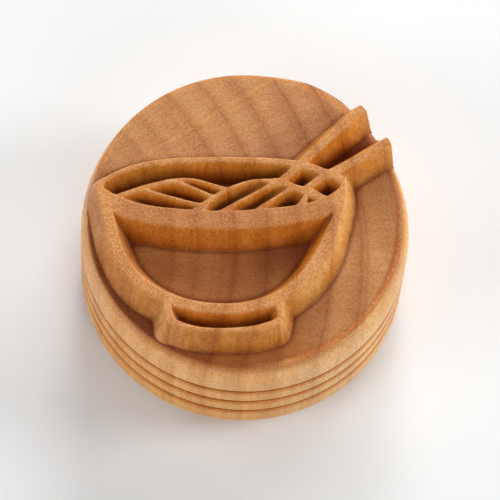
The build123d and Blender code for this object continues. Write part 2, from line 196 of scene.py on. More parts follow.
def lattice_noise(x, y, size, seed):
    """Smooth noise in -1..1 with features about size across."""
    rng = np.random.default_rng(seed)
    n = 256
    table = rng.uniform(-1, 1, (n, n))
    u, v = np.asarray(x) / size + 97.3, np.asarray(y) / size + 61.7
    iu, iv = np.floor(u).astype(int), np.floor(v).astype(int)
    fu, fv = u - iu, v - iv
    fu, fv = fu * fu * fu * (fu * (fu * 6 - 15) + 10), fv * fv * fv * (fv * (fv * 6 - 15) + 10)
    a, b = table[iv % n, iu % n], table[iv % n, (iu + 1) % n]
    c, d = table[(iv + 1) % n, iu % n], table[(iv + 1) % n, (iu + 1) % n]
    return (a * (1 - fu) + b * fu) * (1 - fv) + (c * (1 - fu) + d * fu) * fv


def curve_through(points, n=6):
    """Centripetal Catmull-Rom curve through the points."""
    p = np.array(points, float)
    q = np.vstack([2 * p[0] - p[1], p, 2 * p[-1] - p[-2]])
    out = []
    for i in range(1, len(q) - 2):
        a, b, c, d = q[i - 1], q[i], q[i + 1], q[i + 2]
        t1 = max(np.linalg.norm(b - a), 1e-9) ** 0.5
        t2 = t1 + max(np.linalg.norm(c - b), 1e-9) ** 0.5
        t3 = t2 + max(np.linalg.norm(d - c), 1e-9) ** 0.5
        m1 = ((b - a) / t1 - (c - a) / t2 + (c - b) / (t2 - t1)) * (t2 - t1)
        m2 = ((c - b) / (t2 - t1) - (d - b) / (t3 - t1) + (d - c) / (t3 - t2)) * (t2 - t1)
        for k in range(n):
            s = k / n
            out.append((2 * s**3 - 3 * s**2 + 1) * b + (s**3 - 2 * s**2 + s) * m1 + (-2 * s**3 + 3 * s**2) * c + (s**3 - s**2) * m2)
    out.append(p[-1])
    return np.array(out)


def fair(points, amount):
    """Evens out a row of points: the ends stay, small waves go."""
    p = np.array(points, float)
    n = len(p)
    if n < 5:
        return p
    t = np.concatenate([[0], np.cumsum(np.linalg.norm(np.diff(p, axis=0), axis=1))])
    h = t[-1] / (n - 1)
    second = np.zeros((n - 2, n))
    for i in range(1, n - 1):
        a, b = t[i] - t[i - 1], t[i + 1] - t[i]
        second[i - 1, i - 1 : i + 2] = 2 * h * h / (a * (a + b)), -2 * h * h / (a * b), 2 * h * h / (b * (a + b))
    hold = np.ones(n)
    hold[[0, -1]] = 1e6
    return np.linalg.solve(np.diag(hold) + amount * second.T @ second, hold[:, None] * p)


def outline_distance(poly):
    """Signed distance (negative inside) from every node to a closed outline."""
    dist = np.full((N, N), REACH)
    odd = np.zeros((N, N), bool)
    for p, q in zip(poly, np.roll(poly, -1, 0)):
        dx, dy = q - p
        length = dx * dx + dy * dy
        if length < 1e-12:
            continue
        i0 = max(0, int((min(p[0], q[0]) - REACH - X0) / G))
        i1 = min(N, int((max(p[0], q[0]) + REACH - X0) / G) + 2)
        j0 = max(0, int((min(p[1], q[1]) - REACH - X0) / G))
        j1 = min(N, int((max(p[1], q[1]) + REACH - X0) / G) + 2)
        x, y = XS[i0:i1][None, :] - p[0], XS[j0:j1][:, None] - p[1]
        t = np.clip((x * dx + y * dy) / length, 0, 1)
        part = dist[j0:j1, i0:i1]
        np.minimum(part, np.hypot(x - t * dx, y - t * dy), out=part)
        lo, hi = sorted((p[1], q[1]))
        for j in range(max(0, math.ceil((lo - X0) / G)), min(N, math.ceil((hi - X0) / G))):
            cross = p[0] + (XS[j] - p[1]) / (q[1] - p[1]) * dx
            odd[j, max(0, math.ceil((cross - X0) / G)):] ^= True
    return np.where(odd, -dist, dist)


def strip_distance(rows, amount):
    a = curve_through(fair([(r[0], r[1]) for r in rows], amount))
    b = curve_through(fair([(r[2], r[3]) for r in rows], amount))
    return outline_distance(np.vstack([a, b[::-1]]))


NAMES = list(LINES)
SD = []
for piece in NAMES:
    f = None
    for key in LINES[piece]:
        s = strip_distance(STRIPS[key], FAIR.get(key, 0.4))
        f = s if f is None else np.minimum(f, s)
    for x, y, r in POSTS.get(piece, ()):
        f = np.minimum(f, np.hypot(GX - x, GY - y) - r)
    SD.append(f)
SD = np.array(SD)

# distance to the nearest raised top: soft where two lines meet, as a round cutter leaves it
K = 0.085
low = SD.min(0)
D = low - K * np.log(np.exp(-(SD - low) / K).sum(0))
D = D + 0.016 * lattice_noise(GX, GY, 0.9, 11) + 0.010 * lattice_noise(GX, GY, 0.33, 12)


def soft(v, w):
    """Smooth version of max(v, 0)."""
    return w * np.logaddexp(0, v / w)


def ground_wave(x, y):
    """Height of the cut-back ground above its plane: very slight waviness left by the cutter."""
    return 0.010 * lattice_noise(x, y, 2.1, 21) + 0.005 * lattice_noise(x, y, 0.8, 22)


WAVE = ground_wave(GX, GY)
# the sticks run out square at the block's side; everything else dies away just inside its edge
AZ = np.degrees(np.arctan2(GY, GX))
ENDS = np.clip((20.0 - np.abs(AZ - 36.0)) / 3.0, 0, 1)
R_OUT = 18.97 + (R_END - 18.97) * ENDS
TOP = ZT - 0.012 + 0.007 * lattice_noise(GX, GY, 2.6, 31) + 0.004 * lattice_noise(GX, GY, 0.5, 32)
H = TOP - SLOPE * soft(D, 0.045)
H = ZG + soft(H - ZG, 0.11) - 0.012 + WAVE
edge = ZG - 0.02 + 4.2 * soft(18.93 - GR, 0.04)
H = np.where(ENDS > 0, H - 5.0 * soft(GR - (R_END - 0.06), 0.028), H)      # worn edge where a stick runs out
H = H - (1 - ENDS) * soft(H - edge, 0.05)
H = np.minimum(H, ZT)

gy, gx = np.gradient(H, G)


def blur(f, sigma):
    k = int(3 * sigma / G)
    w = np.exp(-0.5 * (np.arange(-k, k + 1) * G / sigma) ** 2)
    w /= w.sum()
    f = np.pad(f, k, mode="edge")
    f = np.apply_along_axis(lambda m: np.convolve(m, w, "valid"), 0, f)
    return np.apply_along_axis(lambda m: np.convolve(m, w, "valid"), 1, f)


FULL = np.where(GR < R_END, np.maximum(H, ZG), ZG - 1.5)
CAVITY = blur(FULL, 0.8) - FULL                           # how much wood stands round a point, above it


def sample(f, x, y):
    u, v = (np.asarray(x) - X0) / G, (np.asarray(y) - X0) / G
    iu, iv = np.clip(np.floor(u).astype(int), 0, N - 2), np.clip(np.floor(v).astype(int), 0, N - 2)
    fu, fv = np.clip(u - iu, 0, 1), np.clip(v - iv, 0, 1)
    return (f[iv, iu] * (1 - fu) + f[iv, iu + 1] * fu) * (1 - fv) + (f[iv + 1, iu] * (1 - fu) + f[iv + 1, iu + 1] * fu) * fv


# which line each cell belongs to
EDGE_D = RUN + 0.17
OUT = np.maximum(D - EDGE_D, GR - R_OUT)
BSD = SD - np.array([BIAS.get(n, 0.0) for n in NAMES])[:, None, None]
mid = 0.25 * (BSD[:, :-1, :-1] + BSD[:, 1:, :-1] + BSD[:, :-1, 1:] + BSD[:, 1:, 1:])
cell = mid.argmin(0)
mid_out = 0.25 * (OUT[:-1, :-1] + OUT[1:, :-1] + OUT[:-1, 1:] + OUT[1:, 1:])
cx, cy = np.meshgrid(XS[:-1] + G / 2, XS[:-1] + G / 2)
names = list(NAMES)
for piece, limit in SPLIT.items():
    k = NAMES.index(piece)
    names.append(piece + "_tip")
    cell[(cell == k) & (cx + cy < limit)] = len(names) - 1
cell[mid_out > 0] = -1


def neighbours(mask):
    out = np.zeros_like(mask)
    out[1:] |= mask[:-1]
    out[:-1] |= mask[1:]
    out[:, 1:] |= mask[:, :-1]
    out[:, :-1] |= mask[:, 1:]
    return out


# a line is one connected area: crumbs go to whatever they touch
for k in range(len(names)):
    todo = cell == k
    areas = []
    while todo.any():
        j, i = np.argwhere(todo)[0]
        area = np.zeros_like(todo)
        area[j, i] = True
        while True:
            grown = (neighbours(area) & todo) | area
            for _ in range(12):
                grown = (neighbours(grown) & todo) | grown
            if grown.sum() == area.sum():
                break
            area = grown
        areas.append(area)
        todo = todo & ~area
    areas.sort(key=lambda a: -a.sum())
    for area in areas[1:]:
        ring = neighbours(area) & ~area
        found = cell[ring]
        found = found[(found != k) & (found >= 0)]
        cell[area] = np.bincount(found).argmax() if len(found) else -1

# corner-only contacts are opened, so that every mesh is a proper closed solid
for _ in range(4):
    a, b, c, d = cell[:-1, :-1], cell[:-1, 1:], cell[1:, :-1], cell[1:, 1:]
    bad = ((a == d) & (a != b) & (a != c)) | ((b == c) & (b != a) & (b != d))
    if not bad.any():
        break
    j, i = np.nonzero(bad)
    for jj, ii in zip(j, i):
        q = [cell[jj, ii], cell[jj, ii + 1], cell[jj + 1, ii], cell[jj + 1, ii + 1]]
        if q[0] == q[3] and q[0] != q[1] and q[0] != q[2]:
            cell[jj, ii + 1] = q[0] if q[0] >= 0 else q[1]
            if q[0] < 0:
                cell[jj, ii] = q[1]
        elif q[1] == q[2] and q[1] != q[0] and q[1] != q[3]:
            cell[jj, ii] = q[1] if q[1] >= 0 else q[0]
            if q[1] < 0:
                cell[jj, ii + 1] = q[0]

# nodes on a border slide onto the true curve of that border
PX, PY = GX.copy(), GY.copy()
pad = np.full((N + 1, N + 1), -1)
pad[1:-1, 1:-1] = cell
quad = np.stack([pad[:-1, :-1], pad[:-1, 1:], pad[1:, :-1], pad[1:, 1:]], -1)
border = (quad.max(-1) != quad.min(-1))
field_of = {k: (NAMES.index(n[:-4]) if n.endswith("_tip") else k) for k, n in enumerate(names)}
for j, i in np.argwhere(border):
    kinds = sorted(set(quad[j, i].tolist()))
    if len(kinds) != 2:
        continue
    a, b = kinds
    if a == -1:
        F = OUT
    else:
        if field_of[a] == field_of[b]:
            continue
        fa, fb = BSD[field_of[a]], BSD[field_of[b]]
    x, y = PX[j, i], PY[j, i]
    j0, i0 = j, i
    if a == -1:
        v = F[j, i]
        sx, sy = (F[j, min(i + 1, N - 1)] - F[j, i - 1]) / (2 * G), (F[min(j + 1, N - 1), i] - F[j - 1, i]) / (2 * G)
    else:
        v = fa[j, i] - fb[j, i]
        sx = ((fa[j, i + 1] - fb[j, i + 1]) - (fa[j, i - 1] - fb[j, i - 1])) / (2 * G)
        sy = ((fa[j + 1, i] - fb[j + 1, i]) - (fa[j - 1, i] - fb[j - 1, i])) / (2 * G)
    g2 = sx * sx + sy * sy
    if g2 < 0.02:
        continue
    mx, my = -v * sx / g2, -v * sy / g2
    m = math.hypot(mx, my)
    if m > 0.62 * G:
        mx, my = mx * 0.62 * G / m, my * 0.62 * G / m
    PX[j, i] += mx
    PY[j, i] += my

PZ = sample(H, PX, PY)
NX, NY = -sample(gx, PX, PY), -sample(gy, PX, PY)
ND = sample(D, PX, PY)
NCAV = sample(CAVITY, PX, PY)
Z_HIDDEN = 18.05                     # underside of each line, inside the block


def lip(azimuth):
    """The block's upper edge stands a little further out at the upper right."""
    t = (np.degrees(azimuth) - 60.0 + 180.0) % 360.0 - 180.0
    return 0.48 * np.clip(1.0 - np.maximum(np.abs(t) - 7.0, 0) / 17.0, 0, 1) ** 1.5


def finish_mesh(name, verts, faces, normals, attributes):
    """Makes a piece: verts in mm, one normal per face corner, point attributes by name."""
    mesh = bpy.data.meshes.new(name)
    mesh.from_pydata([tuple(v) for v in (np.asarray(verts) * MM).tolist()], [], faces)
    mesh.validate()
    for key, values in attributes.items():
        layer = mesh.attributes.new(key, "FLOAT", "POINT")
        layer.data.foreach_set("value", np.asarray(values, np.float32))
    mesh.polygons.foreach_set("use_smooth", [True] * len(mesh.polygons))
    mesh.update()
    if normals is not None:
        assert len(normals) == len(mesh.loops), name
        n = np.asarray(normals, float)
        n /= np.linalg.norm(n, axis=1)[:, None]
        mesh.normals_split_custom_set([tuple(v) for v in n.tolist()])
    obj = bpy.data.objects.new(name, mesh)
    bpy.context.scene.collection.objects.link(obj)
    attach(obj, "root")
    return obj


def raised_line(k):
    name = names[k]
    js, is_ = np.nonzero(cell == k)
    corner = [(js, is_), (js, is_ + 1), (js + 1, is_ + 1), (js + 1, is_)]
    ids = np.stack([j * N + i for j, i in corner], 1)
    used, inverse = np.unique(ids, return_inverse=True)
    top = inverse.reshape(ids.shape)
    n = len(used)
    uj, ui = used // N, used % N
    x, y, z = PX[uj, ui], PY[uj, ui], PZ[uj, ui]
    nx, ny = NX[uj, ui], NY[uj, ui]
    top_normals = np.stack([nx, ny, np.ones(n)], 1)
    top_normals /= np.linalg.norm(top_normals, axis=1)[:, None]
    # border edges, with the piece on their left
    edges = []
    for side, (dj, di) in enumerate(((-1, 0), (0, 1), (1, 0), (0, -1))):
        jj, ii = js + dj, is_ + di
        other = pad[jj + 1, ii + 1]
        m = other != k
        edges.append(np.stack([top[m, side], top[m, (side + 1) % 4]], 1))
    edges = np.vstack(edges)
    follow = {}
    for a, b in edges.tolist():
        follow.setdefault(a, []).append(b)
    loops = []
    while follow:
        start = next(iter(follow))
        loop, at = [start], start
        while True:
            nxt = follow[at].pop()
            if not follow[at]:
                del follow[at]
            if nxt == start:
                break
            loop.append(nxt)
            at = nxt
        loops.append(loop)
    rim = sorted({v for loop in loops for v in loop})
    rim_index = {v: n + c for c, v in enumerate(rim)}
    # foot of the border, hidden in the block; it leans out to the block's side where the line is cut off by it
    rx, ry = x[rim], y[rim]
    rr = np.hypot(rx, ry)
    at_end = np.clip((rr - (sample(R_OUT, rx, ry) - 0.12)) / 0.08, 0, 1)
    lean = 1 + at_end * (0.05 + 0.35 * lip(np.arctan2(ry, rx))) / np.maximum(rr, 1)
    verts = np.vstack([np.stack([x, y, z], 1), np.stack([rx * lean, ry * lean, np.full(len(rim), Z_HIDDEN)], 1)])
    # outward direction of the border at each of its nodes
    out = np.zeros((n, 2))
    for loop in loops:
        p = np.array([(x[v], y[v]) for v in loop])
        t = np.roll(p, -1, 0) - np.roll(p, 1, 0)
        t = t + 0.5 * (np.roll(t, 1, 0) + np.roll(t, -1, 0))
        q = np.stack([t[:, 1], -t[:, 0]], 1)
        q /= np.maximum(np.linalg.norm(q, axis=1), 1e-9)[:, None]
        out[loop] = q
    ending = np.hypot(x, y) > sample(R_OUT, x, y) - 0.03
    out[ending] = (np.stack([x, y], 1) / np.hypot(x, y)[:, None])[ending]
    faces = top.tolist()
    normals = [top_normals[top.ravel()]]
    sides, side_normals = [], []
    for loop in loops:
        for a, b in zip(loop, loop[1:] + loop[:1]):
            sides.append((a, rim_index[a], rim_index[b], b))
            side_normals += [(*out[a], 0.0), (*out[a], 0.0), (*out[b], 0.0), (*out[b], 0.0)]
    faces += sides
    normals.append(np.array(side_normals))
    flat = [[Vector((verts[rim_index[v]][0], verts[rim_index[v]][1], 0.0)) for v in loop] for loop in loops]
    order = [rim_index[v] for loop in loops for v in loop]
    under = []
    for a, b, c in tessellate_polygon(flat):
        a, b, c = order[a], order[b], order[c]
        area = (verts[b][0] - verts[a][0]) * (verts[c][1] - verts[a][1]) - (verts[b][1] - verts[a][1]) * (verts[c][0] - verts[a][0])
        if abs(area) < 1e-12:
            continue
        under.append((a, c, b) if area > 0 else (a, b, c))
    faces += under
    normals.append(np.tile([0.0, 0.0, -1.0], (3 * len(under), 1)))
    d = np.concatenate([ND[uj, ui], np.full(len(rim), 2.0)])
    cav = np.concatenate([NCAV[uj, ui], np.full(len(rim), 0.0)])
    obj = finish_mesh(name, verts, faces, np.vstack(normals), {"relief": d, "cavity": cav})
    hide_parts(name)
    return obj


relief = [raised_line(k) for k in range(len(names))]


# ---------------------------------------------------------------------------
# the turned block: a lathe profile swept round, with the carved ground on top
# ---------------------------------------------------------------------------
SEG = 448
ANG = 2 * math.pi * np.arange(SEG) / SEG


def arc3(p0, p1, p2, n):
    """Points on the circle through three points, from p0 to just before p2."""
    (ax, ay), (bx, by), (cx_, cy_) = p0, p1, p2
    d = 2 * (ax * (by - cy_) + bx * (cy_ - ay) + cx_ * (ay - by))
    ux = ((ax**2 + ay**2) * (by - cy_) + (bx**2 + by**2) * (cy_ - ay) + (cx_**2 + cy_**2) * (ay - by)) / d
    uy = ((ax**2 + ay**2) * (cx_ - bx) + (bx**2 + by**2) * (ax - cx_) + (cx_**2 + cy_**2) * (bx - ax)) / d
    r = math.hypot(ax - ux, ay - uy)
    t0, t1, t2 = (math.atan2(p[1] - uy, p[0] - ux) for p in (p0, p1, p2))
    span = (t2 - t0) % (2 * math.pi)
    if (t1 - t0) % (2 * math.pi) > span:
        span -= 2 * math.pi
    return [(ux + r * math.cos(t0 + span * k / n), uy + r * math.sin(t0 + span * k / n)) for k in range(n)]


def side_profile():
    """(radius, z, groove share) from the ground's edge down to the foot."""
    pts = []
    pts += [(r, z, 0.0) for r, z in arc3((R_GROUND, ZG), (19.33, 17.75), (19.66, 16.5), 12)]
    pts += [(r, z, 0.0) for r, z in arc3((19.66, 16.5), (19.76, 15.0), (19.77, 13.45), 9)]
    x = 19.77
    zs = [g[0] for g in GROOVES]
    for k, (zg, rg) in enumerate(GROOVES):
        # V groove with a tiny flat at its bottom and softened lips
        pts += [(rg, zg + GROOVE_HALF, 0.0), (rg - 0.03, zg + GROOVE_HALF - 0.05, 0.15)]
        for s in (0.75, 0.5, 0.25, 0.1, -0.1, -0.25, -0.5, -0.75):
            pts.append((rg - GROOVE_DEPTH * (1 - abs(s)) * 0.98, zg + GROOVE_HALF * s, 1 - abs(s)))
        pts += [(rg - 0.03, zg - GROOVE_HALF + 0.05, 0.15), (rg, zg - GROOVE_HALF, 0.0)]
        top = (rg, zg - GROOVE_HALF)
        if k + 1 < len(GROOVES):
            bottom = (GROOVES[k + 1][1], GROOVES[k + 1][0] + GROOVE_HALF)
        else:
            bottom = (R_MAX, 3.1)
        m = ((top[0] + bottom[0]) / 2 + BEAD, (top[1] + bottom[1]) / 2)
        band = arc3(top, m, bottom, 9)
        pts += [(min(r, R_MAX), z, 0.0) for r, z in band[1:]]
    pts += [(r, z, 0.0) for r, z in arc3((R_MAX, 3.1), (R_MAX - 0.08, 2.68), (R_MAX - 0.45, 2.45), 5)]
    pts += [(r, z, 0.0) for r, z in arc3((R_MAX - 0.45, 2.45), (R_FOOT + 1.05, 1.75), (R_FOOT, 0.5), 8)]
    pts += [(r, z, 0.0) for r, z in arc3((R_FOOT, 0.5), (R_FOOT - 0.12, 0.14), (R_FOOT - 0.5, 0.0), 5)]
    return pts


def turned_block():
    rings = []                        # (radius, z, groove, kind)
    inner = np.concatenate([np.arange(0.4, 17.9, 0.185), np.arange(17.9, R_GROUND - 0.28, 0.11)])
    for r in inner:
        rings.append((r, ZG, 0.0, 0))
    # the arris between the ground and the side is worn round
    for r, z in arc3((R_GROUND - 0.26, ZG), (R_GROUND - 0.065, ZG - 0.055), (R_GROUND + 0.045, ZG - 0.20), 7):
        rings.append((r, z, 0.0, 0))
    for r, z, g in side_profile()[2:]:
        rings.append((r, z, g, 1))
    rings.append((R_FOOT - 0.5, 0.0, 0.0, 2))
    for r in np.linspace(R_FOOT - 1.5, 1.0, 12):
        rings.append((r, 0.0, 0.0, 2))
    c, s = np.cos(ANG), np.sin(ANG)
    verts, groove, relief_d, cav = [], [], [], []
    extra = lip(ANG)
    for r, z, g, kind in rings:
        shift = np.clip((r - 17.4) / (R_GROUND - 17.4), 0, 1) if kind == 0 else np.clip((z - 16.3) / (ZG - 16.3), 0, 1) if kind == 1 else 0.0
        rr = r + extra * shift
        zz = np.full(SEG, z)
        if kind == 1:
            # a turned wooden side is a little uneven
            rr = rr + (0.015 * lattice_noise(ANG * 6, np.full(SEG, z), 2.7, 41) - 0.008) * np.clip((z - 0.6) / 2, 0, 1) * (1 if z < 18.5 else 0.4)
            zz = zz + (0.02 * lattice_noise(ANG * 4, np.full(SEG, 3.0), 2.0, 42) if 3.5 < z < 15 else 0.0)
            rr = np.minimum(rr, R_MAX)
        x, y = rr * c, rr * s
        if kind == 0:
            fade = np.clip((R_GROUND - 0.2 - r) / 0.4, 0, 1)
            zz = zz + ground_wave(x, y) * fade
        verts.append(np.stack([x, y, zz], 1))
        groove.append(np.full(SEG, g))
        relief_d.append(sample(D, np.clip(x, -20, 20), np.clip(y, -20, 20)) if kind == 0 else np.full(SEG, 2.3))
        cav.append(sample(CAVITY, np.clip(x, -20, 20), np.clip(y, -20, 20)) if kind == 0 else np.zeros(SEG))
    n = len(rings)
    verts = np.vstack(verts)
    centre_top, centre_low = len(verts), len(verts) + 1
    verts = np.vstack([verts, [[0, 0, ZG + float(ground_wave(0.0, 0.0))], [0, 0, 0]]])
    idx = np.arange(n * SEG).reshape(n, SEG)
    nxt = np.roll(idx, -1, 1)
    quads = np.stack([idx[:-1], idx[1:], nxt[1:], nxt[:-1]], -1).reshape(-1, 4)
    faces = quads.tolist()
    faces += [(centre_top, int(a), int(b)) for a, b in zip(idx[0], nxt[0])]
    faces += [(centre_low, int(b), int(a)) for a, b in zip(idx[-1], nxt[-1])]
    tail = [0.0, 0.0]
    obj = finish_mesh("turned_block", verts, faces, None, {
        "groove": np.concatenate(groove + [tail]),
        "relief": np.concatenate(relief_d + [[float(sample(D, 0.0, 0.0)), 2.3]]),
        "cavity": np.concatenate(cav + [[float(sample(CAVITY, 0.0, 0.0)), 0.0]]),
    })
    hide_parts("turned_block")
    return obj


block = turned_block()


# ---------------------------------------------------------------------------
# materials: one wood, in the part's own coordinates, so that the rings and the
# grain run on through every piece
# ---------------------------------------------------------------------------
def rgb(r, g, b):
    """sRGB 0..255 to linear."""
    return tuple((c / 255 / 12.92) if c / 255 <= 0.04045 else ((c / 255 + 0.055) / 1.055) ** 2.4 for c in (r, g, b)) + (1.0,)


class Tree:
    """Small helper for building a shader."""

    def __init__(self, name):
        self.mat = bpy.data.materials.new(name)
        self.mat.use_nodes = True
        self.nt = self.mat.node_tree
        self.nt.nodes.clear()
        self.out = self.nt.nodes.new("ShaderNodeOutputMaterial")
        self.bsdf = self.nt.nodes.new("ShaderNodeBsdfPrincipled")
        self.nt.links.new(self.bsdf.outputs[0], self.out.inputs[0])

    def link(self, a, b):
        self.nt.links.new(a, b)

    def put(self, socket, value):
        if isinstance(value, bpy.types.NodeSocket):
            self.nt.links.new(value, socket)
        else:
            socket.default_value = value

    def math(self, op, a, b=None, c=None, clamp=False):
        n = self.nt.nodes.new("ShaderNodeMath")
        n.operation, n.use_clamp = op, clamp
        for k, v in enumerate((a, b, c)):
            if v is not None:
                self.put(n.inputs[k], v)
        return n.outputs[0]

    def vec(self, op, a, b=None, scale=None):
        n = self.nt.nodes.new("ShaderNodeVectorMath")
        n.operation = op
        self.put(n.inputs[0], a)
        if b is not None:
            self.put(n.inputs[1], b)
        if scale is not None:
            self.put(n.inputs[3], scale)
        return n.outputs["Value"] if op in ("LENGTH", "DOT_PRODUCT", "DISTANCE") else n.outputs[0]

    def split(self, v):
        n = self.nt.nodes.new("ShaderNodeSeparateXYZ")
        self.put(n.inputs[0], v)
        return n.outputs

    def join(self, x, y, z):
        n = self.nt.nodes.new("ShaderNodeCombineXYZ")
        for s, v in zip(n.inputs, (x, y, z)):
            self.put(s, v)
        return n.outputs[0]

    def noise(self, v, scale, detail=2.0, rough=0.5, distort=0.0, color=False):
        n = self.nt.nodes.new("ShaderNodeTexNoise")
        self.put(n.inputs["Vector"], v)
        n.inputs["Scale"].default_value = scale
        n.inputs["Detail"].default_value = detail
        n.inputs["Roughness"].default_value = rough
        n.inputs["Distortion"].default_value = distort
        return n.outputs["Color" if color else "Fac"]

    def voronoi(self, v, scale, feature="F1", randomness=1.0):
        n = self.nt.nodes.new("ShaderNodeTexVoronoi")
        n.feature = feature
        self.put(n.inputs["Vector"], v)
        n.inputs["Scale"].default_value = scale
        n.inputs["Randomness"].default_value = randomness
        return n.outputs["Distance"]

    def ramp(self, fac, stops, mode="LINEAR"):
        n = self.nt.nodes.new("ShaderNodeValToRGB")
        r = n.color_ramp
        r.interpolation = mode
        stops = [(p, c if isinstance(c, tuple) else (c, c, c, 1.0)) for p, c in stops]
        while len(r.elements) < len(stops):
            r.elements.new(0.5)
        for e, (p, c) in zip(r.elements, stops):
            e.position, e.color = p, c
        self.put(n.inputs[0], fac)
        return n.outputs[0]

    def mix(self, fac, a, b, mode="MIX"):
        n = self.nt.nodes.new("ShaderNodeMix")
        n.data_type, n.blend_type = "RGBA", mode
        n.clamp_factor = True
        self.put(n.inputs[0], fac)
        self.put(n.inputs[6], a)
        self.put(n.inputs[7], b)
        return n.outputs[2]

    def remap(self, v, a, b, c=0.0, d=1.0, smooth=False):
        n = self.nt.nodes.new("ShaderNodeMapRange")
        if smooth:
            n.interpolation_type = "SMOOTHSTEP"
        self.put(n.inputs["Value"], v)
        for k, x in (("From Min", a), ("From Max", b), ("To Min", c), ("To Max", d)):
            n.inputs[k].default_value = x
        return n.outputs["Result"]

    def attr(self, name):
        n = self.nt.nodes.new("ShaderNodeAttribute")
        n.attribute_type = "GEOMETRY"
        n.attribute_name = name
        return n.outputs["Fac"]


# radii of the dark latewood lines about the pith, mm, and how strong each one is
RINGS = (11.0, 14.15, 17.4, 22.4, 25.2, 29.7, 33.6, 37.2, 41.25, 44.85, 49.2, 52.4)
FORCE = (0.5, 0.6, 0.6, 0.55, 0.45, 1.0, 0.8, 0.8, 0.95, 1.0, 0.6, 0.6)
FINE = ((12.9, 0.25), (18.4, 0.55), (19.0, 0.35), (27.15, 0.30), (28.1, 0.30), (36.6, 0.25), (40.4, 0.15), (45.5, 0.45))


